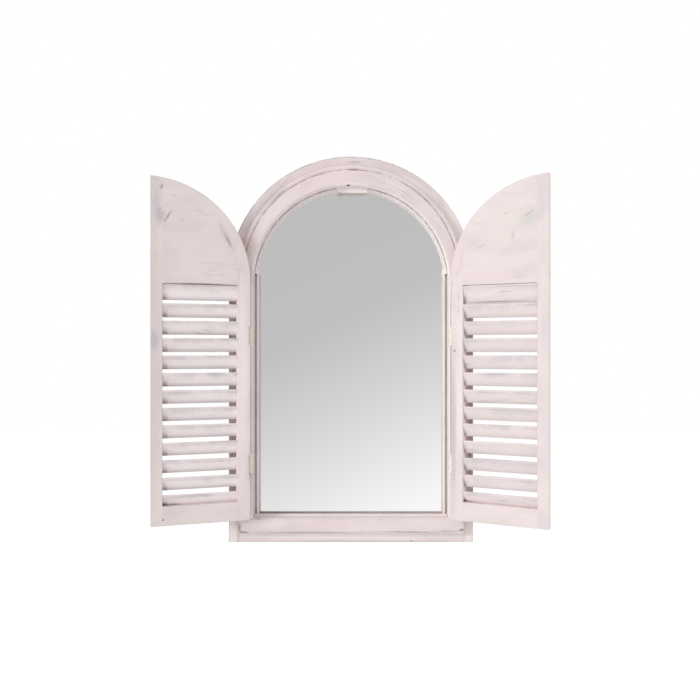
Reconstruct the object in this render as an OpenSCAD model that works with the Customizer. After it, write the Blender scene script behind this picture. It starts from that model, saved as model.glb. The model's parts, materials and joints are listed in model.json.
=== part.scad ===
// Arched wall mirror with a pair of louvred shutters.
// Millimetres. X is to the right, the wall is at +Y and the back lies on y = 0,
// Z is up. The origin is the centre of the hook hole in the hanging plate.
// Heights below are measured from the foot of the frame, depths from its back.

/* [Frame] */
// Width of the opening between the raised jambs
opening_w = 302; // [260:1:360]
// Width of the raised jambs
jamb_w = 22.5; // [20:0.5:32]
// Width of base left bare outside the raised layer, at the sides and crown
margin_w = 16.5; // [8:0.5:30]
// Overall height, foot to crown
frame_h = 600; // [570:1:680]
// Thickness of the base layer
base_t = 22.5; // [20:0.5:28]
// Thickness of the raised layer that carries the shutters
raised_t = 15.5; // [15:0.5:22]
// Width of base left bare below the raised layer
foot_w = 15.5; // [10:0.5:20]
// Height of the raised bottom rail
sill_h = 24.7; // [18:0.1:32]
// How far the opening's arch is centred below the outer arch
arch_drop = 8.6; // [0:0.1:12]
// Height of the base layer's head joint above the opening's springing
head_joint = 15.6; // [10:0.1:24]

/* [Mouldings] */
// Width of the bead round the raised layer's outer edge
bead_w = 7; // [5:0.5:8]
// How far the bead's top lies behind the front face
bead_drop = 1.6; // [1:0.1:3]
// Height of the bead's sides above the groove's floor
bead_side = 0.5; // [0.3:0.1:1]
// Rise of the bead's arc above its sides
bead_rise = 1.5; // [1:0.1:3]
// Width of the groove between the bead and the face, at its bottom
groove_w = 1; // [0.6:0.1:2]
// Rounding of the opening's front edge
opening_round = 3; // [1.5:0.1:4]
// Rounding of the face's edge at the groove
face_round = 1.2; // [0.5:0.1:1.8]
// Rounding of the bottom rail's lower front edge
rail_round = 4.5; // [2:0.1:6]
// Rounding of the bottom rail's upper front edge and its ends
rail_top_round = 2; // [1:0.1:3]
// Crown of the bottom rail's front
rail_crown = 1.2; // [0.4:0.1:2]

/* [Mirror] */
// Width of the straight lips, in from the jambs
lip_w = 8.1; // [7:0.1:12]
// Width of the arched lip, in from the raised arch
arch_lip_w = 3.2; // [2.5:0.1:6]
// How much wider than the straight lips' opening the arch starts, at each side
lip_flare = 2.6; // [0.5:0.1:3]
// Height over which that flare opens
lip_flare_h = 15; // [8:1:20]
// Height of the bottom lip above the raised sill
foot_lip = 3.5; // [1:0.1:8]
// Thickness of the lip in front of the glass
lip_t = 10; // [8:0.5:12]
// Rounding of the straight lips' front edge
lip_round = 2; // [1:0.1:3]
// Width of the rebate behind the lips
rebate_w = 8.8; // [7:0.1:10]
// Play between the glass and the rebate, all round
glass_play = 0.7; // [0.3:0.1:1.5]
// Thickness of the mirror glass
glass_t = 3; // [2:0.5:4]
// Thickness of the backing board
board_t = 3.5; // [2.5:0.5:5]
// Distance of the kerf beside each straight lip from the jamb
kerf_inset = 1.4; // [0.6:0.1:2]
// Width of the kerf
kerf_w = 3.1; // [2:0.1:4]
// Depth of the kerf
kerf_d = 6.5; // [3:0.5:8]
// Length of the flat sprigs behind the board
sprig_l = 14; // [10:1:20]
// Width of a sprig
sprig_w = 8; // [5:1:12]
// Thickness of a sprig
sprig_t = 0.8; // [0.5:0.1:1.2]

/* [Stop and hanger] */
// Width of the stop pad at the crown
stop_w = 47; // [30:1:80]
// Where the stop pad's middle lies, to the right of the crown
stop_x = 2; // [-6:0.5:6]
// Height of the stop pad at the crown
stop_band = 9; // [6:0.1:12]
// Thickness of the stop pad
stop_t = 1.2; // [0.6:0.1:1.4]
// Radius of the catch nail's head
catch_r = 3; // [2:0.1:4]
// Where the catch nail lies, to the right of the crown
catch_x = -4.2; // [-20:0.1:20]
// Depth of the catch nail's middle behind the front face
catch_inset = 4.5; // [4.1:0.1:8]
// Thickness of the catch nail's head
catch_head_t = 2; // [1:0.1:3]
// Radius of the catch nail's shank
catch_shank_r = 1.2; // [0.8:0.1:1.6]
// Length of the catch nail
catch_l = 14; // [8:1:20]
// Distance of the hook hole below the crown
hook_drop = 28; // [24:1:30]
// Radius of the hook hole
hook_r = 4; // [2.5:0.1:5]
// Width of the hanging plate
hanger_w = 44; // [40:1:60]
// Height of the hanging plate
hanger_h = 18; // [15:1:20]
// Thickness of the hanging plate
hanger_t = 1.5; // [1:0.1:2.5]
// Width of the pocket for the hook's head
pocket_w = 24; // [16:1:26]
// Height of the pocket
pocket_h = 14; // [11:1:14]
// Depth of the pocket
pocket_d = 9; // [5:0.5:12]

/* [Shutters] */
// Thickness of a shutter
shutter_t = 14; // [13.8:0.1:15.2]
// Gap between a shutter and the opening's sides and arch
side_gap = 1.6; // [1.4:0.1:3]
// How far the shutters' arch is centred above the opening's
leaf_rise = 1; // [0:0.1:1]
// Gap between a shutter's foot and the sill
sill_gap = 2.8; // [1.2:0.1:4]
// Gap between the two closed shutters
meeting_gap = 9.4; // [2:0.1:12]
// Width of the stile on the hinge side
hinge_stile_w = 19.2; // [18:0.1:30]
// Width of the stile on the free side
free_stile_w = 16.8; // [12:0.1:30]
// Height of the shutter's bottom rail
rail_h = 28.3; // [20:0.1:40]
// How far the top panel reaches below the opening's springing
panel_drop = 5.7; // [0:0.1:40]
// Opening angle of the left shutter as it stands
left_open = 163; // [0:0.5:180]
// Opening angle of the right shutter as it stands
right_open = 156; // [0:0.5:180]

/* [Louvres] */
// Number of slats in a shutter
slat_n = 13; // [9:1:13]
// Width of a slat across its section
slat_w = 23; // [16:0.1:23]
// Width of the left shutter's top slat
left_top_slat_w = 24; // [20:0.1:30]
// Width of the right shutter's top slat, which laps behind the next one
right_top_slat_w = 29.5; // [20:0.1:30]
// Thickness of a slat
slat_t = 3.6; // [2.4:0.1:4]
// Tilt of a slat from the horizontal
slat_tilt = 59; // [59:1:70]
// Tilt of the top slat
top_tilt = 75; // [72:1:80]
// Distance of the slats' upper edges behind the shutter's inner face
slat_inset = 0.15; // [0.1:0.05:0.2]
// Extra drop from the panel to the evenly spaced slats
top_space = 3; // [1:0.1:8]
// How deep the last slat sits in the bottom rail's rebate
foot_lap = 4.1; // [2:0.1:6]
// How deep a slat's end is let into a stile
slat_tenon_l = 4; // [2:0.5:6]

/* [Hinges] */
// Height of a hinge
hinge_h = 29; // [24:1:40]
// Height of the lower hinge's middle
lower_hinge_z = 126; // [90:1:170]
// Height of the upper hinge's middle
upper_hinge_z = 320; // [250:1:370]
// Distance of the hinge axis outside the opening's side
axis_out = 2; // [1.8:0.1:2.1]
// Distance of the hinge axis in front of the frame's front face
axis_proud = 2.6; // [2.6:0.1:4]
// Outer radius of the knuckles
knuckle_r = 2.4; // [2.2:0.1:2.5]
// Radius of the pin
pin_r = 1; // [0.8:0.05:1.2]
// Running clearance of the pin in the shutter's knuckle
pin_play = 0.05; // [0.02:0.01:0.1]
// Gap between two knuckles
knuckle_gap = 0.2; // [0.1:0.05:0.5]
// Radius of the pin's heads
pin_head_r = 1.7; // [1.5:0.1:2]
// Height of the pin's heads
pin_head_h = 0.8; // [0.5:0.1:1.2]
// Thickness of the hinge plates
plate_t = 1.1; // [0.8:0.1:1.3]
// Reach of the frame's plate, back from the hinge axis
frame_leaf_w = 13.6; // [12:0.1:16]
// Width of the shutter's plate on the stile's edge
shutter_leaf_w = 11.8; // [9:0.1:13]
// How deep the shutter's plate lies below the stile's edge
plate_sink = 1.1; // [0:0.1:2]
// Distance of the hinge screws from the hinge's middle
screw_z = 8.5; // [8:0.1:10]
// Radius of a screw's shank
screw_r = 1.1; // [0.8:0.05:1.4]
// Radius of a screw's head
screw_head_r = 2.2; // [1.8:0.1:2.6]
// Length of a hinge screw
screw_l = 10; // [7:0.5:13]
// Radius of a screw's blunt tip
screw_tip_r = 0.2; // [0.1:0.05:0.5]
// Width of a screw's slot
slot_w = 0.6; // [0.4:0.1:0.8]
// Depth of a screw's slot
slot_d = 0.45; // [0.3:0.05:0.6]

/* [Hidden] */
$fn = 64;
e = 1;
opening_r = opening_w / 2;
raised_r = opening_r + jamb_w;
half_w = raised_r + margin_w;
frame_w = 2 * half_w;
foot_z = hook_drop - frame_h;
arch_z = frame_h - half_w;
front_d = base_t + raised_t;
spring_z = arch_z - arch_drop;
head_z = spring_z + head_joint;
sill_z = foot_w + sill_h;
sight_z = sill_z + foot_lip;
face_r = raised_r - bead_w - groove_w;
sight_w = opening_w - 2 * lip_w;
sight_r = opening_r - arch_lip_w;
glass_d = base_t - lip_t;
board_d = glass_d - glass_t;
sprig_d = board_d - board_t;
leaf_r = opening_r - side_gap;
leaf_z = sill_z + sill_gap;
panel_z = spring_z - panel_drop;
axis_x = opening_r + axis_out;
axis_d = front_d + axis_proud;
edge_u = axis_out + side_gap;
free_u = axis_x - meeting_gap / 2;
front_v = axis_proud;
inner_v = axis_proud + shutter_t;
window_u0 = edge_u + hinge_stile_w;
window_u1 = free_u - free_stile_w;
window_z = leaf_z + rail_h;
slat_fall = (slat_w - slat_t) * sin(slat_tilt) + slat_t;
slat_pitch = (panel_z - window_z - top_space - slat_fall + foot_lap) / (slat_n - 1);
knuckle_h = (hinge_h - 2 * knuckle_gap) / 3;
plate_u = edge_u + plate_sink;
shutter_screw_v = front_v + shutter_leaf_w / 2;
frame_screw_v = (front_v + frame_leaf_w) / 2;
wood = [0.92, 0.87, 0.86];
brass = [0.72, 0.60, 0.40];
steel = [0.62, 0.62, 0.62];
hinge_zs = [lower_hinge_z, upper_hinge_z];

function side_word(side) = side < 0 ? "left" : "right";
function named(side, piece) = str(side_word(side), "_", piece);
function slat_name(side, k) = str(side_word(side), "_slat_", k);
function plate_name(side, on, h) =
    str(side_word(side), h == 0 ? "_lower_" : "_upper_", on, "_hinge_plate");
function open_angle(side) = side < 0 ? left_open : right_open;
function tilt(k) = k == 1 ? top_tilt : slat_tilt;
function top_slat_w(side) = side < 0 ? left_top_slat_w : right_top_slat_w;
function across_slat(side, k) = k == 1 ? top_slat_w(side) : slat_w;
function slat_top(k) = k == 1 ? panel_z : panel_z - top_space - (k - 1) * slat_pitch;
// Points of an arc from angle a to angle b
function arc(x, y, r, a, b, n = 10) =
    [for (i = [0 : n]) let (t = a + (b - a) * i / n) [x + r * cos(t), y + r * sin(t)]];

// ---- Helpers ----

// Takes a drawing of the front view from depth d0 to depth d1
module layer(d0, d1) {
    translate([0, -d0, foot_z])
        rotate([90, 0, 0])
            linear_extrude(height = d1 - d0) children();
}

// Turns a radius-and-depth section half round an arch centred at height z
module arch_sweep(z, a0 = 0, a1 = 180) {
    translate([0, 0, foot_z + z])
        rotate([90, 0, 0])
            rotate([0, 0, a0])
                rotate_extrude(angle = a1 - a0) children();
}

// Takes a plan drawing (width, depth) up from height z0 to height z1
module upright(z0, z1) {
    translate([0, 0, foot_z + z0])
        mirror([0, 1, 0])
            linear_extrude(height = z1 - z0) children();
}

// Takes a side drawing (depth behind the axis, height) along the width
module across(x0, x1) {
    translate([x0, 0, 0])
        rotate([90, 0, 90])
            linear_extrude(height = x1 - x0) children();
}

// What a rounding of radius r takes off a corner that points to +x, +y
module corner_waste(r) {
    difference() {
        translate([-r, -r]) square([r + e, r + e]);
        translate([-1.133 * r, -1.133 * r]) circle(r = 1.1412 * r);
    }
}

// A half-round-topped outline
module arched(r, z0, z1) {
    translate([0, z1]) circle(r = r);
    translate([-r, z0]) square([2 * r, z1 - z0]);
}

// Outline of the glass's sight, grown all round: straight sides under a wider arch
module sight_outline(grow) {
    intersection() {
        arched(sight_r + grow, sight_z - grow, spring_z);
        translate([-sight_w / 2 - grow, sight_z - grow])
            square([sight_w + 2 * grow, frame_h]);
    }
}

// Mirrors to the right side of the frame
module on_side(side) {
    if (side < 0)
        children();
    else
        mirror([1, 0, 0]) children();
}

// Hinge space of one side: x toward the opening, y back, from the hinge axis
module hinge_space(side) {
    on_side(side) translate([-axis_x, -axis_d, foot_z]) children();
}

// Shutter space of one side: hinge space turned by the opening angle
module shutter_space(side) {
    on_side(side)
        translate([-axis_x, -axis_d, foot_z])
            rotate([0, 0, -open_angle(side)]) children();
}

// Countersunk screw along +x, its head's face at x = 0
module screw_shape(l) {
    rotate([0, 90, 0]) {
        cylinder(r1 = screw_head_r, r2 = screw_r, h = plate_t);
        translate([0, 0, plate_t]) cylinder(r = screw_r, h = l - plate_t - 2 * screw_r);
        translate([0, 0, l - 2 * screw_r])
            cylinder(r1 = screw_r, r2 = screw_tip_r, h = 2 * screw_r);
    }
}

module slotted_screw(l, turn) {
    difference() {
        screw_shape(l);
        rotate([turn, 0, 0])
            cube([2 * slot_d, slot_w, 2 * screw_head_r + e], center = true);
    }
}

// Places of a frame plate's screws and of a shutter plate's screws
module at_frame_screws(h) {
    for (s = [-1, 1])
        translate([knuckle_r, frame_screw_v, hinge_zs[h] + s * screw_z])
            rotate([0, 0, 180]) children();
}

module at_shutter_screws(h) {
    for (s = [-1, 1])
        translate([plate_u, shutter_screw_v, hinge_zs[h] + s * screw_z]) children();
}

module at_hanger_screws() {
    for (s = [-1, 1])
        translate([s * (pocket_w + hanger_w) / 4, 0, 0]) rotate([0, 0, -90]) children();
}

// Places of the sprigs round the rebate, in the front view
module at_sprigs() {
    for (a = [45, 90, 135])
        translate([0, spring_z]) rotate(a) translate([sight_r + rebate_w, 0]) children();
    for (a = [0, 180], z = [0.3, 0.75])
        translate([0, sight_z + z * (spring_z - sight_z)])
            rotate(a) translate([sight_w / 2 + rebate_w, 0]) children();
    for (s = [-1, 1])
        translate([s * sight_w / 4, sight_z - rebate_w]) children();
}

module sprig_shapes() {
    layer(sprig_d - sprig_t, sprig_d)
        at_sprigs() square([sprig_l, sprig_w], center = true);
}

// ---- Frame, base layer ----

module base_outline() {
    arched(half_w, 0, arch_z);
}

// The arch's part of the sight, which flares out from the straight lips
module arch_sight() {
    w = sight_w / 2;
    intersection() {
        translate([0, spring_z]) circle(r = sight_r);
        polygon([[-w, head_z - e], [w, head_z - e], [w, head_z],
                 [w + lip_flare, head_z + lip_flare_h], [w + lip_flare, frame_h],
                 [-w - lip_flare, frame_h], [-w - lip_flare, head_z + lip_flare_h],
                 [-w, head_z]]);
    }
}

module rebate() {
    layer(-e, glass_d) sight_outline(rebate_w);
}

module base_arch() {
    color(wood)
        difference() {
            layer(0, base_t)
                difference() {
                    base_outline();
                    translate([-half_w - e, -e]) square([frame_w + 2 * e, head_z + e]);
                    arch_sight();
                }
            rebate();
            sprig_shapes();
            translate([-hanger_w / 2, -hanger_t, -hanger_h / 2])
                cube([hanger_w, hanger_t + e, hanger_h]);
            translate([-pocket_w / 2, -pocket_d, -pocket_h / 2])
                cube([pocket_w, pocket_d, pocket_h]);
            at_hanger_screws() screw_shape(screw_l);
        }
}

module base_jamb(side) {
    on_side(side)
        color(wood)
            difference() {
                layer(0, base_t)
                    intersection() {
                        base_outline();
                        translate([-half_w, sight_z])
                            square([half_w - sight_w / 2, head_z - sight_z]);
                    }
                rebate();
                sprig_shapes();
                layer(base_t - kerf_d, base_t + e)
                    translate([-opening_r + kerf_inset, sight_z - e])
                        square([kerf_w, head_z - sight_z + 2 * e]);
                upright(sight_z - e, head_z + e)
                    translate([-sight_w / 2, base_t]) corner_waste(lip_round);
            }
}

module base_bottom_rail() {
    color(wood)
        difference() {
            layer(0, base_t)
                translate([-half_w, 0]) square([frame_w, sight_z]);
            rebate();
            sprig_shapes();
        }
}

// ---- Frame, raised layer ----

// Section of the raised layer: distance from the middle, depth
module raised_section(inner) {
    arc_r = (pow(bead_w / 2, 2) + pow(bead_rise, 2)) / 2 / bead_rise;
    groove_d = front_d - bead_drop - bead_rise - bead_side;
    difference() {
        translate([inner, base_t]) square([face_r - inner, raised_t]);
        translate([face_r, front_d]) corner_waste(face_round);
    }
    translate([inner, base_t]) square([raised_r - inner, groove_d - base_t]);
    intersection() {
        translate([raised_r - bead_w, base_t]) square([bead_w, raised_t]);
        translate([raised_r - bead_w / 2, front_d - bead_drop - arc_r]) circle(r = arc_r);
        translate([0, groove_d - bead_side]) square([half_w, raised_t]);
    }
}

// Waste at the opening's front edge, beside x = opening_r
module opening_waste() {
    translate([opening_r, front_d]) mirror([1, 0]) corner_waste(opening_round);
}

module catch_place() {
    translate([catch_x, -(front_d - catch_inset), foot_z + spring_z
               + sqrt(pow(opening_r, 2) - pow(abs(catch_x) + catch_r, 2))]) children();
}

module catch_shape() {
    cylinder(r = catch_r, h = catch_head_t);
    cylinder(r = catch_shank_r, h = catch_l);
}

module raised_arch() {
    color(wood)
        difference() {
            union() {
                arch_sweep(arch_z) raised_section(opening_r - 2 * arch_drop - e);
                for (side = [-1, 1])
                    on_side(side)
                        upright(spring_z, arch_z)
                            mirror([1, 0]) raised_section(opening_r - 2 * arch_drop - e);
            }
            layer(base_t - e, front_d + e) translate([0, spring_z]) circle(r = opening_r);
            arch_sweep(spring_z) opening_waste();
            catch_place() catch_shape();
        }
}

module raised_jamb(side) {
    on_side(side)
        color(wood)
            difference() {
                upright(sill_z, spring_z)
                    mirror([1, 0])
                        difference() {
                            raised_section(opening_r);
                            opening_waste();
                        }
                for (h = [0, 1])
                    translate([-axis_x, -axis_d, foot_z]) {
                        translate([knuckle_r - plate_t, 0, hinge_zs[h] - hinge_h / 2])
                            cube([plate_t + e, frame_leaf_w, hinge_h]);
                        at_frame_screws(h) screw_shape(screw_l);
                    }
            }
}

module raised_bottom_rail() {
    r = rail_round;
    q = rail_top_round;
    crown_r = (pow(sill_h / 2, 2) + pow(rail_crown, 2)) / 2 / rail_crown;
    color(wood)
        intersection() {
            across(-raised_r, raised_r)
                translate([0, foot_z])
                    polygon(concat(
                        [[-base_t, foot_w]],
                        arc(-front_d + rail_crown + r, foot_w + r, r, 270, 188),
                        arc(-front_d + crown_r, foot_w + sill_h / 2, crown_r,
                            180 + asin((sill_h / 2 - r) / crown_r),
                            180 - asin((sill_h / 2 - q) / crown_r)),
                        arc(-front_d + rail_crown + q, sill_z - q, q, 172, 90),
                        [[-base_t, sill_z]]));
            upright(foot_w - e, sill_z + e)
                polygon(concat(
                    [[-raised_r, base_t - e]],
                    arc(-raised_r + q, front_d - q, q, 180, 90),
                    arc(raised_r - q, front_d - q, q, 90, 0),
                    [[raised_r, base_t - e]]));
        }
}

// ---- Glass, board and small parts ----

module mirror_glass() {
    color([0.80, 0.82, 0.83])
        layer(board_d, glass_d) sight_outline(rebate_w - glass_play);
}

module backing_board() {
    color([0.55, 0.42, 0.30])
        layer(sprig_d, board_d) sight_outline(rebate_w - glass_play);
}

module backing_pins() {
    color(steel) sprig_shapes();
}

module stop_pad() {
    color(wood)
        layer(base_t, base_t + stop_t)
            intersection() {
                translate([0, spring_z]) circle(r = opening_r);
                translate([stop_x - stop_w / 2, spring_z + opening_r - stop_band])
                    square([stop_w, 2 * stop_band]);
            }
}

module catch_nail() {
    color([0.22, 0.18, 0.16]) catch_place() catch_shape();
}

module hanger_plate() {
    color(steel)
        difference() {
            translate([-hanger_w / 2, -hanger_t, -hanger_h / 2])
                cube([hanger_w, hanger_t, hanger_h]);
            translate([0, e, 0]) rotate([90, 0, 0]) cylinder(r = hook_r, h = hanger_t + 2 * e);
            at_hanger_screws() screw_shape(screw_l);
        }
}

// ---- Hinges ----

module frame_hinge_plate(side, h) {
    color(brass)
        hinge_space(side)
            translate([0, 0, hinge_zs[h] - hinge_h / 2])
                difference() {
                    union() {
                        translate([knuckle_r - plate_t, 0, 0])
                            cube([plate_t, frame_leaf_w, hinge_h]);
                        cylinder(r = knuckle_r, h = hinge_h);
                    }
                    translate([0, 0, -e]) cylinder(r = pin_r, h = hinge_h + 2 * e);
                    translate([0, 0, knuckle_h])
                        cylinder(r = knuckle_r + knuckle_gap, h = knuckle_h + 2 * knuckle_gap);
                    translate([0, 0, hinge_h / 2 - hinge_zs[h]])
                        at_frame_screws(h) screw_shape(screw_l);
                }
}

module shutter_hinge_plate(side, h) {
    color(brass)
        shutter_space(side)
            translate([0, 0, hinge_zs[h]])
                difference() {
                    union() {
                        translate([0, 0, -knuckle_h / 2]) {
                            cylinder(r = knuckle_r, h = knuckle_h);
                            translate([0, -knuckle_r, 0])
                                cube([plate_u + plate_t, plate_t, knuckle_h]);
                            translate([plate_u, -knuckle_r, 0])
                                cube([plate_t, knuckle_r + front_v + e, knuckle_h]);
                        }
                        translate([plate_u, front_v, -hinge_h / 2])
                            cube([plate_t, shutter_leaf_w, hinge_h]);
                    }
                    translate([0, 0, -knuckle_h])
                        cylinder(r = pin_r + pin_play, h = 2 * knuckle_h);
                    translate([0, 0, -hinge_zs[h]]) at_shutter_screws(h) screw_shape(screw_l);
                }
}

module hinge_pins() {
    color(brass)
        for (side = [-1, 1], z = hinge_zs)
            hinge_space(side)
                translate([0, 0, z]) {
                    cylinder(r = pin_r, h = hinge_h, center = true);
                    for (s = [-1, 1])
                        translate([0, 0, s * (hinge_h + pin_head_h) / 2])
                            cylinder(r = pin_head_r, h = pin_head_h, center = true);
                }
}

module frame_screws() {
    color(steel) {
        for (side = [-1, 1], h = [0, 1])
            hinge_space(side) at_frame_screws(h) slotted_screw(screw_l, 20 + 50 * h);
        at_hanger_screws() slotted_screw(screw_l, 35);
    }
}

module shutter_screws(side) {
    color(steel)
        shutter_space(side)
            for (h = [0, 1]) at_shutter_screws(h) slotted_screw(screw_l, 70 - 30 * h);
}

// ---- Shutters ----

// Takes a front-view drawing of the shutter through its thickness
module shutter_slab() {
    translate([0, inner_v, 0])
        rotate([90, 0, 0])
            linear_extrude(height = shutter_t)
                intersection() {
                    union() {
                        translate([axis_x, spring_z + leaf_rise]) circle(r = leaf_r);
                        translate([edge_u, leaf_z])
                            square([leaf_r, spring_z + leaf_rise - leaf_z]);
                    }
                    children();
                }
}

module slat_shape(side, k) {
    run = across_slat(side, k) - slat_t;
    across(window_u0 - slat_tenon_l, window_u1 + slat_tenon_l)
        translate([inner_v - slat_inset - slat_t / 2, slat_top(k) - slat_t / 2])
            rotate(180 + tilt(k)) {
                circle(d = slat_t);
                translate([run, 0]) circle(d = slat_t);
                translate([0, -slat_t / 2]) square([run, slat_t]);
            }
}

module hinge_stile(side) {
    color(wood)
        shutter_space(side)
            difference() {
                shutter_slab()
                    translate([edge_u, leaf_z]) square([hinge_stile_w, frame_h]);
                for (k = [1 : slat_n]) slat_shape(side, k);
                for (h = [0, 1]) {
                    translate([edge_u - e, front_v - e, hinge_zs[h] - hinge_h / 2])
                        cube([plate_sink + plate_t + e, shutter_t + 2 * e, hinge_h]);
                    at_shutter_screws(h) screw_shape(screw_l);
                }
            }
}

module free_stile(side) {
    color(wood)
        shutter_space(side)
            difference() {
                shutter_slab()
                    translate([window_u1, leaf_z]) square([free_stile_w, frame_h]);
                for (k = [1 : slat_n]) slat_shape(side, k);
            }
}

module top_panel(side) {
    color(wood)
        shutter_space(side)
            shutter_slab()
                translate([window_u0, panel_z]) square([window_u1 - window_u0, frame_h]);
}

// The rail's rebate takes the last slat's lower edge and is open to the back
module bottom_rail(side) {
    run = slat_w - slat_t;
    back_v = inner_v - slat_inset - slat_t / 2 - run * cos(slat_tilt);
    color(wood)
        shutter_space(side)
            difference() {
                shutter_slab()
                    translate([window_u0, leaf_z]) square([window_u1 - window_u0, rail_h]);
                slat_shape(side, slat_n);
                translate([window_u0 - e, front_v - e, window_z - foot_lap])
                    cube([window_u1 - window_u0 + 2 * e, back_v - front_v + e, foot_lap + e]);
            }
}

module slat(side, k) {
    color(wood) shutter_space(side) slat_shape(side, k);
}

// ---- Nodes ----

base_arch();
base_jamb(-1);  // base_left_jamb
base_jamb(1);  // base_right_jamb
base_bottom_rail();
raised_arch();
raised_jamb(-1);  // raised_left_jamb
raised_jamb(1);  // raised_right_jamb
raised_bottom_rail();
mirror_glass();
backing_board();
backing_pins();
stop_pad();
catch_nail();
hanger_plate();
frame_screws();
hinge_pins();
for (side = [-1, 1]) {
    for (h = [0, 1]) {
        frame_hinge_plate(side, h);
        shutter_hinge_plate(side, h);
    }
    hinge_stile(side);
    free_stile(side);
    top_panel(side);
    bottom_rail(side);
    shutter_screws(side);
    for (k = [1 : slat_n])
        slat(side, k);
}
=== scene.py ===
# Arched wall mirror with a pair of louvred shutters, in distressed whitewashed wood.
# Metres, +Z up, the wall at +Y, the front at -Y, the origin at the hook hole.
import json
import math

import bpy
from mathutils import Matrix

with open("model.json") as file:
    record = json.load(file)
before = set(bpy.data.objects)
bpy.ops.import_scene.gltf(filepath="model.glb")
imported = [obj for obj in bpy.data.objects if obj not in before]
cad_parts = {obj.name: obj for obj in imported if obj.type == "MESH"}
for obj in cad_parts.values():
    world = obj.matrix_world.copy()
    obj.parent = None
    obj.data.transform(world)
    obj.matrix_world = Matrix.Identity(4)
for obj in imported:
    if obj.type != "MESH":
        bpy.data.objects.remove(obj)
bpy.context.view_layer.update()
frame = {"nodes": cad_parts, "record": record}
print("model loaded")

mm = 0.001
foot = -0.572  # height of the frame's foot
springing = foot + 401.4 * mm  # centre of the opening's arch
archCentre = foot + 410 * mm  # centre of the outer arches


def tint(r, g, b):
    # 0-255 display values to the linear colour that a socket wants
    linear = [c / 255 / 12.92 if c <= 10 else ((c / 255 + 0.055) / 1.055) ** 2.4
              for c in (r, g, b)]
    return (*linear, 1.0)


def feedIn(tree, made, feed):
    for name, value in (feed or {}).items():
        socket = made.inputs[name]
        if isinstance(value, bpy.types.NodeSocket):
            tree.links.new(value, socket)
        else:
            socket.default_value = value
    return made


def add(tree, kind, feed=None, out=0, **settings):
    made = tree.nodes.new("ShaderNode" + kind)
    for name, value in settings.items():
        setattr(made, name, value)
    return feedIn(tree, made, feed).outputs[out]


def calc(tree, operation, a, b=0.0):
    return add(tree, "Math", {0: a, 1: b}, operation=operation)


def times(tree, a, b, *more):
    product = calc(tree, "MULTIPLY", a, b)
    for factor in more:
        product = calc(tree, "MULTIPLY", product, factor)
    return product


def largest(tree, a, b, *more):
    most = calc(tree, "MAXIMUM", a, b)
    for value in more:
        most = calc(tree, "MAXIMUM", most, value)
    return most


def inverse(tree, mask):
    return calc(tree, "SUBTRACT", 1.0, mask)


def hypotenuse(tree, a, b):
    return calc(tree, "SQRT", calc(tree, "ADD", times(tree, a, a), times(tree, b, b)))


def ramp(tree, value, low, high, toLow=0.0, toHigh=1.0, smooth=True):
    return add(tree, "MapRange", {"Value": value, "From Min": low, "From Max": high,
                                  "To Min": toLow, "To Max": toHigh},
               interpolation_type="SMOOTHSTEP" if smooth else "LINEAR")


def band(tree, value, middle, core, edge):
    # 1 within core of the middle, 0 beyond edge
    return ramp(tree, calc(tree, "ABSOLUTE", calc(tree, "SUBTRACT", value, middle)), edge, core)


def mixColour(tree, mask, a, b):
    return add(tree, "Mix", {0: mask, 6: a, 7: b}, out=2, data_type="RGBA")


def objectPlace(tree):
    return add(tree, "TexCoord", out="Object")


def split(tree, vector):
    return feedIn(tree, tree.nodes.new("ShaderNodeSeparateXYZ"), {0: vector}).outputs


def noise(tree, place, scale, detail=4.0, roughness=0.6, distortion=0.0):
    return add(tree, "TexNoise", {"Vector": place, "Scale": scale, "Detail": detail,
                                  "Roughness": roughness, "Distortion": distortion})


def newGroup(name, inputs, outputs):
    tree = bpy.data.node_groups.new(name, "ShaderNodeTree")
    for label, kind, value in inputs:
        socket = tree.interface.new_socket(label, in_out="INPUT", socket_type="NodeSocket" + kind)
        socket.default_value = value
    for label, kind in outputs:
        tree.interface.new_socket(label, in_out="OUTPUT", socket_type="NodeSocket" + kind)
    return tree, tree.nodes.new("NodeGroupInput").outputs, tree.nodes.new("NodeGroupOutput").inputs


def useGroup(tree, group, feed):
    made = tree.nodes.new("ShaderNodeGroup")
    made.node_tree = group
    return feedIn(tree, made, feed).outputs


def edgeWearGroup():
    # how far the rounded-over normal leaves the face's own: 1 along worn edges
    tree, given, gives = newGroup(
        "edgeWear",
        [("Radius", "Float", 0.001), ("Breaks", "Float", 75.0)],
        [("Mask", "Float"), ("Normal", "Vector")])
    soft = add(tree, "Bevel", {"Radius": given["Radius"]}, samples=6)
    true = add(tree, "NewGeometry", out="True Normal")
    same = add(tree, "VectorMath", {0: soft, 1: true}, out="Value", operation="DOT_PRODUCT")
    broken = noise(tree, objectPlace(tree), given["Breaks"], 4.0, 0.65)
    mask = times(tree, ramp(tree, same, 0.996, 0.88), ramp(tree, broken, 0.36, 0.60))
    tree.links.new(mask, gives["Mask"])
    tree.links.new(soft, gives["Normal"])
    return tree


def cornerGlazeAndShadeGroup():
    # glaze that stays in corners and grooves, found by occlusion, so it also paints shade there
    tree, given, gives = newGroup(
        "cornerGlaze",
        [("Reach", "Float", 0.006), ("Breaks", "Float", 110.0)],
        [("Mask", "Float")])
    clear = add(tree, "AmbientOcclusion", {"Distance": given["Reach"]}, out="AO", samples=8)
    broken = noise(tree, objectPlace(tree), given["Breaks"], 4.0, 0.65)
    shift = ramp(tree, broken, 0.3, 0.7, -0.14, 0.14, smooth=False)
    tree.links.new(ramp(tree, calc(tree, "ADD", clear, shift), 0.60, 0.10), gives["Mask"])
    return tree


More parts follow.
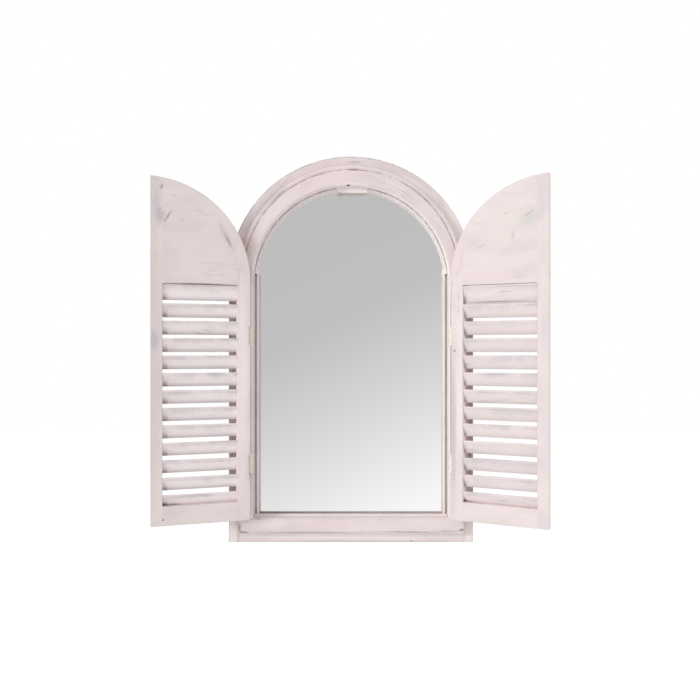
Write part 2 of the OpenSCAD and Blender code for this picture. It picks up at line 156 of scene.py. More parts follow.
def brushedPaintGroup():
    # x of the vector runs along the grain: strokes, rubbed patches, soft mottling and a height
    tree, given, gives = newGroup(
        "brushedPaint",
        [("Vector", "Vector", (0, 0, 0)), ("Stroke", "Float", 300.0), ("Rub", "Float", 0.5)],
        [(name, "Float") for name in ("Stroke", "Thin", "Mottle", "Blush", "Height")])
    along = add(tree, "Mapping", {"Vector": given["Vector"], "Scale": (0.05, 1.0, 1.0)})
    stroke = noise(tree, along, given["Stroke"], 5.0, 0.62, 0.2)
    wide = add(tree, "Mapping", {"Vector": given["Vector"], "Scale": (0.4, 1.0, 1.0)})
    patch = noise(tree, wide, 21.0, 5.0, 0.72, 0.3)
    high = calc(tree, "SUBTRACT", 0.74, times(tree, given["Rub"], 0.14))
    body = ramp(tree, patch, calc(tree, "SUBTRACT", high, 0.12), high)
    thin = times(tree, body, ramp(tree, stroke, 0.38, 0.60))
    tree.links.new(stroke, gives["Stroke"])
    tree.links.new(thin, gives["Thin"])
    tree.links.new(noise(tree, wide, 30.0, 6.0, 0.6), gives["Mottle"])
    shifted = add(tree, "Mapping", {"Vector": wide, "Location": (3.0, 5.0, 7.0)})
    tree.links.new(noise(tree, shifted, 14.0, 3.0, 0.5), gives["Blush"])
    tree.links.new(calc(tree, "SUBTRACT", stroke, times(tree, thin, 0.5)), gives["Height"])
    return tree


def markGroup():
    # one rubbed or knocked mark: an oval on the front, broken up by noise
    tree, given, gives = newGroup(
        "mark",
        [("Place", "Vector", (0, 0, 0)), ("Size", "Vector", (0.01, 1, 0.01)),
         ("Turn", "Vector", (0, 0, 0)), ("Rough", "Float", 0.5)],
        [("Mask", "Float")])
    here = objectPlace(tree)
    own = add(tree, "Mapping", {"Vector": here, "Location": given["Place"],
                                "Rotation": given["Turn"], "Scale": given["Size"]},
              vector_type="TEXTURE")
    flat = add(tree, "VectorMath", {0: own, 1: (1, 0, 1)}, operation="MULTIPLY")
    far = add(tree, "VectorMath", {0: flat}, out="Value", operation="LENGTH")
    stretched = add(tree, "Mapping", {"Vector": own, "Scale": (2.6, 0.0, 0.5)})
    streaks = times(tree, noise(tree, stretched, 2.2, 5.0, 0.7), 0.6)
    specks = times(tree, noise(tree, here, 420.0, 2.0), 0.4)
    uneven = calc(tree, "SUBTRACT", calc(tree, "ADD", streaks, specks), 0.5)
    ragged = times(tree, uneven, times(tree, given["Rough"], 4.0))
    tree.links.new(ramp(tree, calc(tree, "ADD", far, ragged), 1.05, 0.35), gives["Mask"])
    return tree


leaf = dict(
    seams=(22.8 * mm, 131.5 * mm), seamReach=(1.6 * mm, 2.4 * mm),  # from the hinge axis
    tenonOffset=4.6 * mm, tenonReach=(3.2 * mm, 3.6 * mm),
    windowFoot=foot + 71.3 * mm, windowHead=foot + 395.7 * mm,
    slatTop=foot + 392.7 * mm, slatPitch=25.44 * mm,
    leftEnd=-272.5 * mm, rightEnd=170.5 * mm)  # left end of each leaf's window, from the front


def leafSeamsGroup():
    # Mask: where no edge shows, at the glued seams beside panel and rail and over the tenons
    # Outer: the face of the leaf's free edge
    tree, given, gives = newGroup(
        "leafSeams",
        [("Axis", "Vector", (0, 0, 0)), ("Along", "Vector", (1, 0, 0))],
        [("Mask", "Float"), ("Outer", "Float")])
    here = objectPlace(tree)
    true = add(tree, "NewGeometry", out="True Normal")
    facing = add(tree, "VectorMath", {0: true, 1: given["Along"]}, out="Value",
                 operation="DOT_PRODUCT")
    tree.links.new(ramp(tree, facing, 0.90, 0.96), gives["Outer"])
    offset = add(tree, "VectorMath", {0: here, 1: given["Axis"]}, operation="SUBTRACT")
    u = add(tree, "VectorMath", {0: offset, 1: given["Along"]}, out="Value",
            operation="DOT_PRODUCT")
    z = split(tree, here)[2]
    first, last = leaf["seams"]
    near = largest(tree, band(tree, u, first, *leaf["seamReach"]),
                   band(tree, u, last, *leaf["seamReach"]))
    head = ramp(tree, z, leaf["windowHead"] - 0.2 * mm, leaf["windowHead"] + 0.8 * mm)
    sill = ramp(tree, z, leaf["windowFoot"] + 0.2 * mm, leaf["windowFoot"] - 0.8 * mm)
    seam = times(tree, near, largest(tree, head, sill))
    tenons = largest(tree, band(tree, u, first - leaf["tenonOffset"], *leaf["tenonReach"]),
                     band(tree, u, last + leaf["tenonOffset"], *leaf["tenonReach"]))
    tree.links.new(largest(tree, seam, tenons), gives["Mask"])
    return tree


def louvreBandsGroup():
    # the slats' bands, by the phase: 0 at a slat's upper edge and 1 at its lower one
    # Rub: lines near the upper edge; painted shade on the lower part; a painted highlight below the
    # lines.
    # Patch: worn patches of the upper half. Last: the heights of the painted shadow at a slat's left
    # end.
    tree, given, gives = newGroup(
        "louvreBands",
        [("Vector", "Vector", (0, 0, 0))],
        [(name, "Float") for name in ("Rub", "Dull", "Light", "Patch", "Low")])
    z = split(tree, objectPlace(tree))[2]
    down = calc(tree, "DIVIDE", calc(tree, "SUBTRACT", leaf["slatTop"], z), leaf["slatPitch"])
    phase = calc(tree, "FRACT", calc(tree, "ADD", down, 20.0))  # the sum stays above 0
    along = add(tree, "Mapping", {"Vector": given["Vector"], "Scale": (0.02, 0.0, 1.0)})
    line = noise(tree, along, 420.0, 3.0, 0.6)
    where = noise(tree, given["Vector"], 26.0, 3.0, 0.6)
    rub = times(tree, ramp(tree, phase, 0.30, 0.04), ramp(tree, line, 0.47, 0.60),
                ramp(tree, where, 0.40, 0.56))
    # a painted highlight: paler paint below the rubbed lines
    light = times(tree, ramp(tree, phase, 0.06, 0.36, 0.35, 1.0),
                  ramp(tree, down, 0.94, 1.0, 0.78, 1.0))
    patch = times(tree, ramp(tree, phase, 0.62, 0.20), ramp(tree, where, 0.44, 0.66))
    # the heights of the painted shadow at a slat's left end
    low = times(tree, ramp(tree, phase, 0.28, 0.76), ramp(tree, phase, 0.96, 0.92))
    tree.links.new(rub, gives["Rub"])
    tree.links.new(ramp(tree, phase, 0.50, 0.82), gives["Dull"])
    tree.links.new(light, gives["Light"])
    tree.links.new(patch, gives["Patch"])
    tree.links.new(low, gives["Low"])
    return tree


def reachFrom(tree, x, z, centre):
    # the distance from an arch's centre above it, and from the middle line below it
    up = largest(tree, calc(tree, "SUBTRACT", z, centre), 0.0)
    return hypotenuse(tree, x, up)


lip = dict(
    outer=151 * mm, sight=142.9 * mm, arch=147.8 * mm, foot=43.7 * mm, depth=22.5 * mm)

# where each zone of the frame begins and where it is full
zoneAt = dict(
    # from the middle line, or above it from an arch's centre
    behind=(163 * mm, 169 * mm), rim=(188.6 * mm, 189.6 * mm),
    beside=(175.2 * mm, 0.4 * mm, 3.4 * mm), groove=(166 * mm, 1.2 * mm, 1.8 * mm),
    kerf=(148 * mm, 2 * mm, 2.6 * mm), corner=(151 * mm, 0.4 * mm, 1.1 * mm),
    padSide=(2 * mm, 24 * mm, 26 * mm), pad=(154 * mm, 153 * mm),
    inWall=(152.6 * mm, 151.6 * mm), archLip=(150.6 * mm, 150 * mm),
    margin=(173.6 * mm, 174 * mm), marginEnd=(184 * mm, 178 * mm),
    # in depth
    rimDepth=(-18 * mm, -21.5 * mm), kerfDepth=(-13.5 * mm, -15 * mm),
    inWallDepth=(-24.6 * mm, -26 * mm), archLipDepth=(-12 * mm, -13 * mm),
    cornerDepth=(-25 * mm, -23.6 * mm),
    # in height
    high=(springing + 12 * mm, springing + 18 * mm),
    behindFoot=(foot + 42 * mm, foot + 60 * mm), behindHead=(foot + 470 * mm, foot + 400 * mm),
    overFoot=(foot + 42 * mm, foot + 44 * mm), ledge=(foot + 41.5 * mm, 1.5 * mm, 3 * mm))


def frameZonesGroup():
    # Lip: the whiter lip round the glass. Wall: its inner wall. Back: the raw back. Then painted
    # shade on the margin behind the leaves, wear on the outer rim, a painted shadow line beside the
    # raised layer, the corner line round the arch, and painted light: paler paint with no glaze where
    # shade falls.
    tree, _, gives = newGroup("frameZones", [], [(name, "Float") for name in (
        "Lip", "Wall", "Back", "Behind", "Rim", "Beside", "Corner", "Clean")])
    x, y, z = split(tree, objectPlace(tree))
    side = calc(tree, "ABSOLUTE", x)
    inner = reachFrom(tree, x, z, springing)
    outer = reachFrom(tree, x, z, archCentre)
    broken = noise(tree, objectPlace(tree), 60.0, 4.0, 0.65)
    high = ramp(tree, z, *zoneAt["high"])
    onBase = ramp(tree, y, -lip["depth"] - 0.6 * mm, -lip["depth"] - 0.3 * mm)
    inside = ramp(tree, inner, lip["outer"] + 0.3 * mm, lip["outer"] - 0.2 * mm)
    above = ramp(tree, z, foot + lip["foot"] + 0.8 * mm, foot + lip["foot"] + 1.8 * mm)
    tree.links.new(times(tree, inside, above, onBase), gives["Lip"])

    # the inner walls beside the glass and along its foot, but not round the arch
    normal = split(tree, add(tree, "NewGeometry", out="True Normal"))
    flat = ramp(tree, calc(tree, "ABSOLUTE", normal[1]), 0.6, 0.3)
    arched = times(tree, high, ramp(tree, inner, lip["arch"] + 0.8 * mm, lip["arch"] + 0.3 * mm))
    straight = ramp(tree, side, lip["sight"] + 0.8 * mm, lip["sight"] + 0.3 * mm)
    straight = times(tree, straight, ramp(tree, x, -20 * mm, 20 * mm, 0.6, 0.3))
    sill = ramp(tree, z, foot + lip["foot"] + 0.8 * mm, foot + lip["foot"] + 0.3 * mm)
    sill = times(tree, sill, ramp(tree, x, -140 * mm, 100 * mm, 0.85, 0.5))
    wall = times(tree, largest(tree, straight, sill), inverse(tree, arched))
    onWall = ramp(tree, y, -lip["depth"] + 3 * mm, -lip["depth"] + 6 * mm)
    tree.links.new(times(tree, wall, flat, onWall), gives["Wall"])
    tree.links.new(ramp(tree, normal[1], 0.5, 0.8), gives["Back"])

    # painted shade behind the leaves and a painted shadow line beside the raised layer; wear along
    # the rim
    height = times(tree, ramp(tree, z, *zoneAt["behindFoot"]), ramp(tree, z, *zoneAt["behindHead"]))
    tree.links.new(times(tree, ramp(tree, side, *zoneAt["behind"]), height), gives["Behind"])
    ragged = calc(tree, "ADD", outer, ramp(tree, broken, 0.3, 0.7, -1.0 * mm, 1.0 * mm))
    rim = times(tree, ramp(tree, ragged, *zoneAt["rim"]),
                ramp(tree, x, 40 * mm, 130 * mm, 1.0, 0.4), ramp(tree, y, *zoneAt["rimDepth"]))
    tree.links.new(rim, gives["Rim"])
    # a painted shadow line beside the raised layer
    beside = times(tree, band(tree, outer, *zoneAt["beside"]), ramp(tree, broken, 0.34, 0.6),
                   ramp(tree, x, 40 * mm, 130 * mm, 1.0, 0.3), onBase)
    tree.links.new(beside, gives["Beside"])

    # painted light where shade falls: the bead's groove, the pad with the wall behind it, the arch's
    # right margin, the ledge over the foot, the kerfs and the arch's lip get paler paint and no glaze
    sideways = largest(tree, ramp(tree, x, -150 * mm, 60 * mm, 0.5, 1.0),
                       ramp(tree, x, -100 * mm, -125 * mm, 0.0, 0.9))
    patchy = times(tree, sideways, ramp(tree, broken, 0.56, 0.44, 0.1, 1.0))
    groove = times(tree, band(tree, outer, *zoneAt["groove"]), patchy)
    padSide = band(tree, x, *zoneAt["padSide"])
    pad = times(tree, padSide, high, ramp(tree, inner, *zoneAt["pad"]))
    inWall = times(tree, ramp(tree, inner, *zoneAt["inWall"]),
                   ramp(tree, y, *zoneAt["inWallDepth"]),
                   ramp(tree, x, -60 * mm, 50 * mm, 0.6, 1.0))
    margin = times(tree, ramp(tree, outer, *zoneAt["margin"]),
                   ramp(tree, outer, *zoneAt["marginEnd"]),
                   ramp(tree, x, 60 * mm, 110 * mm, 0.0, 0.75))
    overFoot = ramp(tree, z, *zoneAt["overFoot"])
    ledge = times(tree, band(tree, z, *zoneAt["ledge"]), 0.6)
    paintedLight = times(tree, largest(tree, groove, pad, inWall, margin), overFoot)
    front = ramp(tree, y, -lip["depth"] + 3 * mm, -lip["depth"] + 1.5 * mm)
    kerf = times(tree, band(tree, side, *zoneAt["kerf"]),
                 ramp(tree, x, -20 * mm, 20 * mm, 0.8, 0.95), inverse(tree, high),
                 ramp(tree, y, *zoneAt["kerfDepth"]), overFoot)
    archLip = times(tree, ramp(tree, inner, *zoneAt["archLip"]), high,
                    ramp(tree, y, *zoneAt["archLipDepth"]),
                    ramp(tree, x, -60 * mm, 40 * mm, 0.7, 1.0))
    paintedLight = largest(tree, times(tree, largest(tree, paintedLight, ledge), front), kerf, archLip)
    tree.links.new(times(tree, paintedLight, 0.95), gives["Clean"])

    corner = times(tree, band(tree, inner, *zoneAt["corner"]),
                   ramp(tree, broken, 0.36, 0.56, 0.25, 0.9), high,
                   ramp(tree, y, *zoneAt["cornerDepth"]), inverse(tree, padSide))
    tree.links.new(corner, gives["Corner"])
    return tree


edgeWear = edgeWearGroup()
cornerGlaze = cornerGlazeAndShadeGroup()
brushedPaint = brushedPaintGroup()
mark = markGroup()
leafSeams = leafSeamsGroup()
louvreBands = louvreBandsGroup()
frameZones = frameZonesGroup()
print("effects built")

# the paler paint also serves as painted light, and the glaze as painted shade
whitewash = dict(
    paint=tint(231, 218, 217), blush=tint(231, 214, 215), cream=tint(226, 217, 212),
    shade=tint(215, 202, 202), fresh=tint(249, 240, 239), white=tint(236, 233, 230),
    undercoat=tint(192, 183, 186), lilac=tint(196, 188, 194), cool=tint(205, 203, 200),
    worn=tint(160, 148, 148), glaze=tint(99, 73, 65), knock=tint(104, 92, 96),
    tan=tint(194, 174, 166), rawWood=tint(205, 178, 138),
    roughness=0.60, edgeRadius=1.1 * mm, archRadius=0.16)

# marks: millimetres from the middle and from the foot, half sizes, lean to the right in degrees
leftMarks = [
    dict(at=(-286, 290), size=(14, 300), colour="shade", strength=0.6, rough=0.3),
    dict(at=(-284, 520), size=(13, 62), colour="cool", strength=0.45, rough=0.4),
    dict(at=(-282, 514), size=(7, 20), colour="undercoat", strength=0.35, rough=0.8),
    dict(at=(-275, 537), size=(2.4, 6), turn=10, strength=0.45),
    dict(at=(-277, 495), size=(9, 15), colour="undercoat", strength=0.75, rough=0.8),
    dict(at=(-266.5, 494), size=(2.2, 13), turn=28, strength=0.5, rough=0.4),
    dict(at=(-258, 525), size=(5, 1.0), strength=0.25, rough=0.4),
    dict(at=(-248, 489.5), size=(5.5, 1.0), turn=-6, strength=0.25, rough=0.4),
    dict(at=(-187, 470), size=(6, 28), turn=-26, colour="lilac", strength=0.55),
    dict(at=(-183, 462), size=(2, 14), turn=-26, strength=0.4, rough=0.4),
    dict(at=(-285, 313), size=(8, 20), colour="lilac", strength=0.8, rough=0.4),
    # a painted shadow line under the panel, along the window's head
    dict(at=(-222, 396.6), size=(60, 1.2), colour="glaze", strength=0.75, rough=0.25),
    dict(at=(-273, 52), size=(1.9, 1.9), strength=0.8, rough=0.2),
    dict(at=(-163, 250), size=(12, 190), colour="fresh", strength=0.5, rough=0.3)]
rightMarks = [
    dict(at=(259, 489), size=(20, 12), turn=-25, colour="cool", strength=0.6, rough=0.7),
    dict(at=(256, 496), size=(13, 2), turn=-32, strength=0.2, rough=0.9),
    dict(at=(226, 498), size=(3, 2), strength=0.25, rough=0.8),
    dict(at=(192, 452), size=(9, 1.4), turn=-35, strength=0.22, rough=0.6),
    dict(at=(235, 466), size=(3, 7), colour="undercoat", strength=0.5, rough=0.6),
    dict(at=(155.6, 298), size=(2.2, 2.8), strength=0.6, rough=0.3),
    dict(at=(154.2, 178), size=(4.5, 135), colour="lilac", strength=0.8, rough=0.5),
    dict(at=(159.2, 414), size=(1.2, 5), colour="undercoat", strength=0.8, rough=0.3),
    dict(at=(150.4, 240), size=(1.6, 180), colour="worn", strength=0.7, rough=0.3),
    dict(at=(166, 250), size=(9, 190), colour="fresh", strength=0.3, rough=0.4)]
# a painted shadow line under the right leaf's first slat
rightSlatMarks = [
    dict(at=(217, 370.4), size=(52, 1.3), colour="glaze", strength=0.5, rough=0.3)]
archMarks = [
    dict(at=(6, 591.5), size=(15, 2.4), colour="undercoat", strength=0.7),
    dict(at=(4.6, 575.3), size=(14, 1.2), colour="glaze", strength=0.8, rough=0.3),
    dict(at=(79, 556), size=(1.4, 1.4), strength=0.8, rough=0.1),
    # painted shadow of the left leaf on the arch by the springing
    dict(at=(-166, 456), size=(20, 24), colour="tan", strength=0.6, rough=0.5),
    dict(at=(-126, 532), size=(10, 52), turn=42, colour="undercoat", strength=0.6, rough=0.8),
    dict(at=(-108, 540), size=(2.5, 20), turn=48, colour="worn", strength=0.5, rough=0.8),
    dict(at=(118, 530), size=(7, 40), turn=-44, colour="cool", strength=0.5, rough=0.8),
    # painted light on the arch's right margin, where the raised layer casts shade
    dict(at=(166, 486), size=(12, 52), turn=-24, colour="fresh", strength=0.5, rough=0.4)]
footMarks = [
    # painted shadow of the left leaf on the left end of the foot's rail
    dict(at=(-171.5, 26), size=(3.6, 10), colour="glaze", strength=0.62, rough=1.0),
    dict(at=(-165, 19), size=(10, 2.8), turn=4, colour="glaze", strength=0.55, rough=1.1),
    dict(at=(-143, 39.4), size=(5.5, 1.6), colour="glaze", strength=0.3, rough=0.4),
    dict(at=(-128, 31), size=(34, 9), colour="fresh", strength=0.3, rough=0.6),
    # painted light on the foot's two ends, where the leaves cast shade
    dict(at=(-184, 16), size=(9, 24), colour="fresh", strength=0.6, rough=0.3),
    dict(at=(184, 16), size=(9, 24), colour="fresh", strength=0.5, rough=0.3),
    dict(at=(169.6, 22.8), size=(5, 2.4), turn=-12, colour="glaze", strength=0.7, rough=0.4),
    dict(at=(93.5, 1.6), size=(4, 1.8), strength=0.6),
    dict(at=(0, 9), size=(205, 9), colour="white", strength=0.65, rough=0.4),
    dict(at=(0, 1.5), size=(190, 2.2), colour="undercoat", strength=0.6, rough=0.5),
    dict(at=(-60, 18.4), size=(110, 0.9), turn=0.2, colour="glaze", strength=0.6, rough=0.4),
    dict(at=(88, 19.4), size=(60, 1.0), turn=0.5, colour="glaze", strength=0.7, rough=0.4),
    dict(at=(146, 21), size=(26, 3.2), turn=2, colour="undercoat", strength=0.5, rough=0.8)]


def strokeSpace(tree, run):
    # x of the result runs along the board's grain
    here = objectPlace(tree)
    if run != "arch":
        turn = math.radians(90 if run == "up" else 0)
        return add(tree, "Mapping", {"Vector": here, "Rotation": (0, turn, 0), "Scale": (1, 0, 1)})
    # round the arch: angle times a middling radius, then depth, then the distance from the centre
    x, y, z = split(tree, here)
    up = calc(tree, "SUBTRACT", z, springing)
    arc = times(tree, calc(tree, "ARCTAN2", x, up), whitewash["archRadius"])
    return add(tree, "CombineXYZ", {0: arc, 1: y, 2: hypotenuse(tree, x, up)})


def placeOnLeaf(tree, side):
    # the hinge's place and the leaf's direction at rest, from the record
    start = "left" if side < 0 else "right"
    joints = frame["record"]["behaviour"]["joints"]
    hinge = next(joint for joint in joints if joint["name"].startswith(start))
    turn = math.radians(-hinge["range_deg"][0])
    along = (-side * math.cos(turn), -math.sin(turn), 0)
    return useGroup(tree, leafSeams, {"Axis": hinge["pos_m"], "Along": along})


def addMarks(tree, colour, marks, spared=None):
    # no mark shows where the spared mask is 1
    for one in marks:
        made = useGroup(tree, mark, {
            "Place": (one["at"][0] * mm, 0, foot + one["at"][1] * mm),
            "Size": (one["size"][0] * mm, 1, one["size"][1] * mm),
            "Turn": (0, math.radians(one.get("turn", 0)), 0), "Rough": one.get("rough", 0.5)})
        much = times(tree, made["Mask"], one["strength"])
        if spared is not None:
            much = times(tree, much, inverse(tree, spared))
        colour = mixColour(tree, much, colour, whitewash[one.get("colour", "knock")])
    return colour


def makeWhitewash(name, run, marks=(), rub=0.5, glazeAndShadeReach=5 * mm, edge=0.6, glazeAndShading=0.8,
                  side=0, louvre=None, fresh=0.0, zones=False, windowEnd=None):
    # run: the way of the grain; side: -1 on the left leaf, 1 on the right one
    # louvre: how strong the slats' painted highlight and painted shade bands are
    look = whitewash
    material = bpy.data.materials.new(name)
    material.use_nodes = True
    tree = material.node_tree
    shader = tree.nodes["Principled BSDF"]

    def lay(under, mask, share, over):
        return mixColour(tree, times(tree, mask, share), under, look[over])

    space = strokeSpace(tree, run)
    paint = useGroup(tree, brushedPaint, {"Vector": space, "Rub": rub})
    wear = useGroup(tree, edgeWear, {"Radius": look["edgeRadius"]})
    glaze = useGroup(tree, cornerGlaze, {"Reach": glazeAndShadeReach})["Mask"]
    worn, normal = wear["Mask"], wear["Normal"]
    if side:
        placed = placeOnLeaf(tree, side)
        seams, outer = placed["Mask"], placed["Outer"]
        worn = times(tree, worn, ramp(tree, largest(tree, seams, outer), 0.0, 1.0, 1.0, 0.12))
        plain = add(tree, "NewGeometry", out="Normal")
        normal = add(tree, "Mix", {0: times(tree, seams, 0.9), 4: normal, 5: plain}, out=1,
                     data_type="VECTOR")
    colour = mixColour(tree, ramp(tree, paint["Blush"], 0.36, 0.52), look["blush"], look["paint"])
    colour = mixColour(tree, ramp(tree, paint["Blush"], 0.56, 0.74), colour, look["cream"])
    colour = mixColour(tree, ramp(tree, paint["Mottle"], 0.38, 0.72, 0.0, 0.7), colour, look["shade"])
    colour = mixColour(tree, ramp(tree, paint["Stroke"], 0.52, 0.78, 0.0, 0.5), colour, look["shade"])
    if side:
        # painted light: paler paint on the free edge's face, which the lamp leaves in shade
        colour = lay(colour, outer, 0.8, "fresh")
    # paler paint, partly a painted light where the piece sits in shade (the pad)
    if fresh:
        colour = mixColour(tree, fresh, colour, look["fresh"])
    if louvre:
        bands = useGroup(tree, louvreBands, {"Vector": space})
        # a painted highlight across the slats and painted shade on their lower parts
        colour = lay(colour, bands["Light"], louvre[0], "fresh")
        colour = lay(colour, bands["Dull"], louvre[1], "undercoat")
        colour = lay(colour, bands["Patch"], 0.32, "lilac")
        colour = lay(colour, bands["Rub"], 0.8, "undercoat")
    colour = lay(colour, paint["Thin"], 0.6, "undercoat")
    if zones:
        zone = useGroup(tree, frameZones, {})
        colour = lay(colour, zone["Lip"], 0.35, "white")
        uneven = ramp(tree, paint["Stroke"], 0.3, 0.6, 0.75, 0.4)
        # painted shade on the margin behind the leaves
        colour = lay(colour, zone["Behind"], uneven, "glaze")
        wood = mixColour(tree, ramp(tree, paint["Stroke"], 0.35, 0.7), look["rawWood"], look["tan"])
        colour = mixColour(tree, times(tree, zone["Back"], 0.9), colour, wood)
        colour = lay(colour, zone["Rim"], 0.6, "worn")
        # painted shadow line beside the raised layer, laid in the worn grey
        colour = lay(colour, zone["Beside"], 0.5, "worn")
        # painted light: paler paint and no glaze where the lighting leaves shade
        colour = lay(colour, zone["Clean"], 0.85, "fresh")
        glaze = times(tree, glaze, inverse(tree, zone["Clean"]))
    colour = lay(colour, worn, edge, "worn")
    colour = addMarks(tree, colour, marks, zone["Back"] if zones else None)
    if windowEnd is not None:
        # the painted shade line at the window's foot is faint but for its left end
        x, _, z = split(tree, objectPlace(tree))
        end = calc(tree, "SUBTRACT", x, windowEnd)
        low = ramp(tree, z, leaf["windowFoot"] + 9 * mm, leaf["windowFoot"] + 5 * mm)
        faint = times(tree, low, ramp(tree, end, 4 * mm, 30 * mm, 0.1, 0.85))
        glaze = times(tree, glaze, inverse(tree, faint))
    # glaze in corners, partly painted shade from the occlusion
    colour = lay(colour, glaze, glazeAndShading, "glaze")
    if louvre:
        # painted shadow that the stile casts on the left end of each slat
        leftEndShadow = times(tree, ramp(tree, end, 5.5 * mm, 0.5 * mm), bands["Low"])
        colour = lay(colour, leftEndShadow, 0.5, "glaze")
    if zones:
        colour = lay(colour, largest(tree, zone["Wall"], zone["Corner"]), 0.85, "glaze")
    tree.links.new(colour, shader.inputs["Base Color"])
    rough = calc(tree, "ADD", look["roughness"], times(tree, paint["Thin"], 0.15))
    tree.links.new(rough, shader.inputs["Roughness"])
    shader.inputs["Specular IOR Level"].default_value = 0.3
    bump = add(tree, "Bump", {"Strength": 0.3, "Distance": 0.35 * mm,
                              "Height": paint["Height"], "Normal": normal})
    tree.links.new(bump, shader.inputs["Normal"])
    return material


def makePlain(name, colour, roughness, metallic=0.0, speckle=0.08, scale=220.0):
    material = bpy.data.materials.new(name)
    material.use_nodes = True
    tree = material.node_tree
    shader = tree.nodes["Principled BSDF"]
    grain = noise(tree, objectPlace(tree), scale, 6.0, 0.65)
    dark = tuple(c * (1 - 3 * speckle) for c in colour[:3]) + (1.0,)
    tone = mixColour(tree, ramp(tree, grain, 0.3, 0.75), colour, dark)
    rough = ramp(tree, grain, 0.3, 0.7, roughness - 0.08, roughness + 0.10)
    tree.links.new(tone, shader.inputs["Base Color"])
    tree.links.new(rough, shader.inputs["Roughness"])
    shader.inputs["Metallic"].default_value = metallic
    return material


paintedBrass = dict(
    metal=(tint(226, 194, 138), tint(172, 138, 92)),
    coat=(tint(250, 241, 234), tint(240, 227, 217)),
    spots=(0.67, 0.77), edgeShare=0.3, metallic=0.6, coatRoughness=0.62, bareRoughness=0.38,
    edgeRadius=0.7 * mm)


def makePaintedBrass(name):
    # dull brass that shows through the paint in spots and along edges
    look = paintedBrass
    material = bpy.data.materials.new(name)
    material.use_nodes = True
    tree = material.node_tree
    shader = tree.nodes["Principled BSDF"]
    here = objectPlace(tree)
    wear = useGroup(tree, edgeWear, {"Radius": look["edgeRadius"], "Breaks": 320.0})
    spots = ramp(tree, noise(tree, here, 260.0, 4.0, 0.7), *look["spots"])
    bare = largest(tree, spots, times(tree, wear["Mask"], look["edgeShare"]))
    tone = ramp(tree, noise(tree, here, 700.0, 3.0), 0.3, 0.7)
    metal = mixColour(tree, tone, *look["metal"])
    coat = mixColour(tree, tone, *look["coat"])
    rough = ramp(tree, bare, 0.0, 1.0, look["coatRoughness"], look["bareRoughness"])
    tree.links.new(mixColour(tree, bare, coat, metal), shader.inputs["Base Color"])
    tree.links.new(times(tree, bare, look["metallic"]), shader.inputs["Metallic"])
    tree.links.new(rough, shader.inputs["Roughness"])
    tree.links.new(wear["Normal"], shader.inputs["Normal"])
    return material


silvered = dict(colour=(0.925, 0.93, 0.925, 1), roughness=0.0)


def makeSilvered(name):
    material = bpy.data.materials.new(name)
    material.use_nodes = True
    shader = material.node_tree.nodes["Principled BSDF"]
    shader.inputs["Base Color"].default_value = silvered["colour"]
    shader.inputs["Metallic"].default_value = 1.0
    shader.inputs["Roughness"].default_value = silvered["roughness"]
    return material


finishes = {
    "frameUp": makeWhitewash("whitewashJambs", "up", footMarks, zones=True, glazeAndShading=0.6),
    "frameAcross": makeWhitewash("whitewashFoot", "across", footMarks, zones=True,
                                 glazeAndShadeReach=6 * mm),
    "frameArch": makeWhitewash("whitewashArch", "arch", archMarks, zones=True,
                               glazeAndShadeReach=4 * mm, glazeAndShading=0.6),
    "pad": makeWhitewash("whitewashPad", "across", rub=0.4, edge=0.1, glazeAndShading=0.0, fresh=0.85),
    "leftUp": makeWhitewash("whitewashLeftStiles", "up", leftMarks, rub=0.5, side=-1, edge=0.45),
    "leftAcross": makeWhitewash("whitewashLeftPanel", "across", leftMarks, rub=0.3, side=-1,
                                windowEnd=leaf["leftEnd"]),
    "rightUp": makeWhitewash("whitewashRightStiles", "up", rightMarks, rub=0.4, side=1, edge=0.2),
    "rightAcross": makeWhitewash("whitewashRightPanel", "across", rightMarks, rub=0.2, side=1,
                                 windowEnd=leaf["rightEnd"]),
    # the two leaves' louvres get different shares of painted highlight and painted shade
    "leftLouvre": makeWhitewash("whitewashLeftLouvres", "across", rub=0.4, louvre=(0.95, 0.65),
                                glazeAndShadeReach=8 * mm, windowEnd=leaf["leftEnd"]),
    "rightLouvre": makeWhitewash("whitewashRightLouvres", "across", rightSlatMarks, rub=0.5,
                                 louvre=(0.45, 0.25), windowEnd=leaf["rightEnd"]),
    "mirror": makeSilvered("silveredGlass"),
    "board": makePlain("backingBoard", tint(140, 108, 76), 0.8),
    "brass": makePaintedBrass("paintedBrass"),
    "steel": makePlain("zincSteel", tint(176, 176, 174), 0.38, metallic=1.0),
    "nail": makePlain("darkNail", tint(62, 50, 44), 0.55, metallic=0.3)}


def finishFor(node):
    if "screws" in node or node in ("hanger_plate", "backing_pins"):
        return "steel"
    if "hinge_p" in node:
        return "brass"
    named = {"mirror_glass": "mirror", "backing_board": "board", "catch_nail": "nail",
             "stop_pad": "pad"}
    if node in named:
        return named[node]
    piece = node.split("_")[0] if node.startswith(("left", "right")) else "frame"
    if "slat" in node:
        return piece + "Louvre"
    if node.endswith("_arch"):
        return piece + "Arch"
    return piece + ("Up" if "stile" in node or "jamb" in node else "Across")


for node, cad in frame["nodes"].items():
    cad.data.materials.clear()
    cad.data.materials.append(finishes[finishFor(node)])
print("materials on", len(frame["nodes"]), "nodes")

studio = dict(
    cameraAt=(-1.5 * mm, -1.097, foot + 0.299), lens=35.49, sensor=36.0,
    floorDrop=0.55, floorSize=12.0, floorTint=tint(242, 242, 242), floorGlow=1.12,
    floorShare=0.8, ambient=0.815,
    keyAt=(-2.0, -1.8, foot + 1.0), keyTurn=50, keyRise=15, keyAngle=22, keyPower=1.10,
    # what the glass sees: steps of grey by the ray's lean, brightened a little
    leanFrom=-0.25, leanSpan=0.6, greyGain=1.055,
    mirrorGreys=[(-0.21, 191), (-0.05, 194), (0.0, 201), (0.087, 215), (0.174, 231),
                 (0.27, 249), (0.35, 255)])

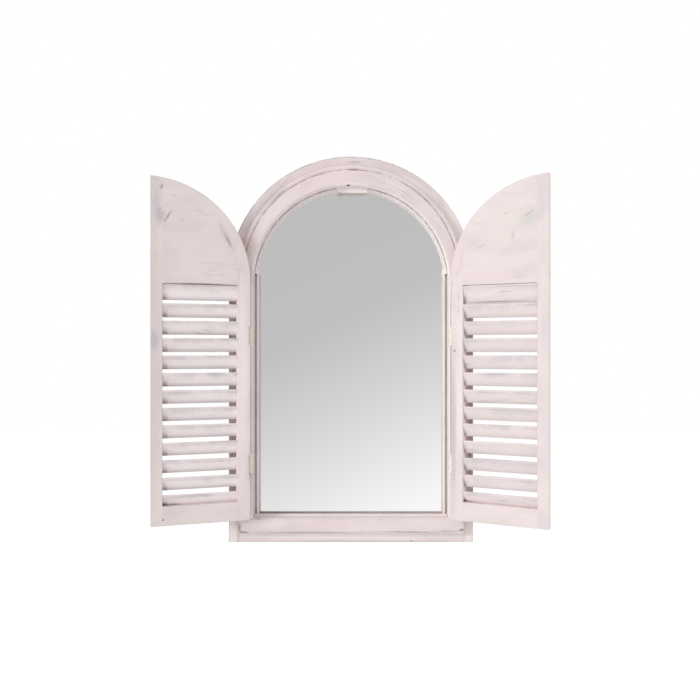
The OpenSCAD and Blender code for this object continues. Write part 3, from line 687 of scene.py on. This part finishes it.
camera = bpy.data.objects.new("camera", bpy.data.cameras.new("camera"))
bpy.context.scene.collection.objects.link(camera)
camera.data.lens = studio["lens"]
camera.data.sensor_width = studio["sensor"]
camera.location = studio["cameraAt"]
camera.rotation_euler = (math.radians(90), 0, 0)
bpy.context.scene.camera = camera


def makeFloor():
    # white to the camera, clear to the glass, and a plain pale floor to the light
    half = studio["floorSize"] / 2
    corners = [(-half, -half, 0), (half, -half, 0), (half, half, 0), (-half, half, 0)]
    mesh = bpy.data.meshes.new("floor")
    mesh.from_pydata(corners, [], [(0, 1, 2, 3)])
    floor = bpy.data.objects.new("floor", mesh)
    floor.location = (0, 0, foot - studio["floorDrop"])
    bpy.context.scene.collection.objects.link(floor)
    material = bpy.data.materials.new("paleFloor")
    material.use_nodes = True
    tree = material.node_tree
    shader = tree.nodes["Principled BSDF"]
    shader.inputs["Base Color"].default_value = studio["floorTint"]
    shader.inputs["Roughness"].default_value = 0.9
    rays = tree.nodes.new("ShaderNodeLightPath").outputs
    glow = add(tree, "Emission", {"Color": (1, 1, 1, 1), "Strength": studio["floorGlow"]})
    share = times(tree, rays["Is Camera Ray"], studio["floorShare"])
    lit = add(tree, "MixShader", {0: share, 1: shader.outputs[0], 2: glow})
    clear = add(tree, "BsdfTransparent")
    last = add(tree, "MixShader", {0: rays["Is Glossy Ray"], 1: lit, 2: clear})
    tree.links.new(last, tree.nodes["Material Output"].inputs["Surface"])
    mesh.materials.append(material)


def makeWorld():
    # white behind the object; the glass sees a studio that is grey above and white below
    world = bpy.data.worlds.new("studio")
    bpy.context.scene.world = world
    world.use_nodes = True
    tree = world.node_tree
    background = tree.nodes["Background"]
    rays = tree.nodes.new("ShaderNodeLightPath").outputs
    direction = add(tree, "TexCoord", out="Generated")
    lean = add(tree, "VectorMath", {0: direction, 1: (0.5, 0.0, -1.0)}, out="Value",
               operation="DOT_PRODUCT")
    shades = tree.nodes.new("ShaderNodeValToRGB")
    start, span = studio["leanFrom"], studio["leanSpan"]
    tree.links.new(ramp(tree, lean, start, start + span, smooth=False), shades.inputs[0])
    elements = shades.color_ramp.elements
    while len(elements) < len(studio["mirrorGreys"]):
        elements.new(0.5)
    for element, (place, grey) in zip(elements, studio["mirrorGreys"]):
        element.position = (place - start) / span
        element.color = tuple(c * studio["greyGain"] for c in tint(grey, grey, grey)[:3]) + (1.0,)
    seen = mixColour(tree, rays["Is Glossy Ray"], (1, 1, 1, 1), shades.outputs[0])
    direct = largest(tree, rays["Is Camera Ray"], rays["Is Glossy Ray"],
                     rays["Is Transmission Ray"])
    strength = add(tree, "MapRange", {"Value": direct, "To Min": studio["ambient"],
                                      "To Max": 1.0})
    tree.links.new(seen, background.inputs["Color"])
    tree.links.new(strength, background.inputs["Strength"])


def makeKey():
    # a soft lamp far off to the left, a little above the object
    lamp = bpy.data.lights.new("key", "SUN")
    lamp.angle = math.radians(studio["keyAngle"])
    lamp.energy = studio["keyPower"]
    light = bpy.data.objects.new("key", lamp)
    light.location = studio["keyAt"]
    light.rotation_euler = (math.radians(90 - studio["keyRise"]), 0,
                            math.radians(-studio["keyTurn"]))
    bpy.context.scene.collection.objects.link(light)


makeFloor()
makeWorld()
makeKey()
bpy.context.scene.view_settings.view_transform = "Standard"
print("studio ready")
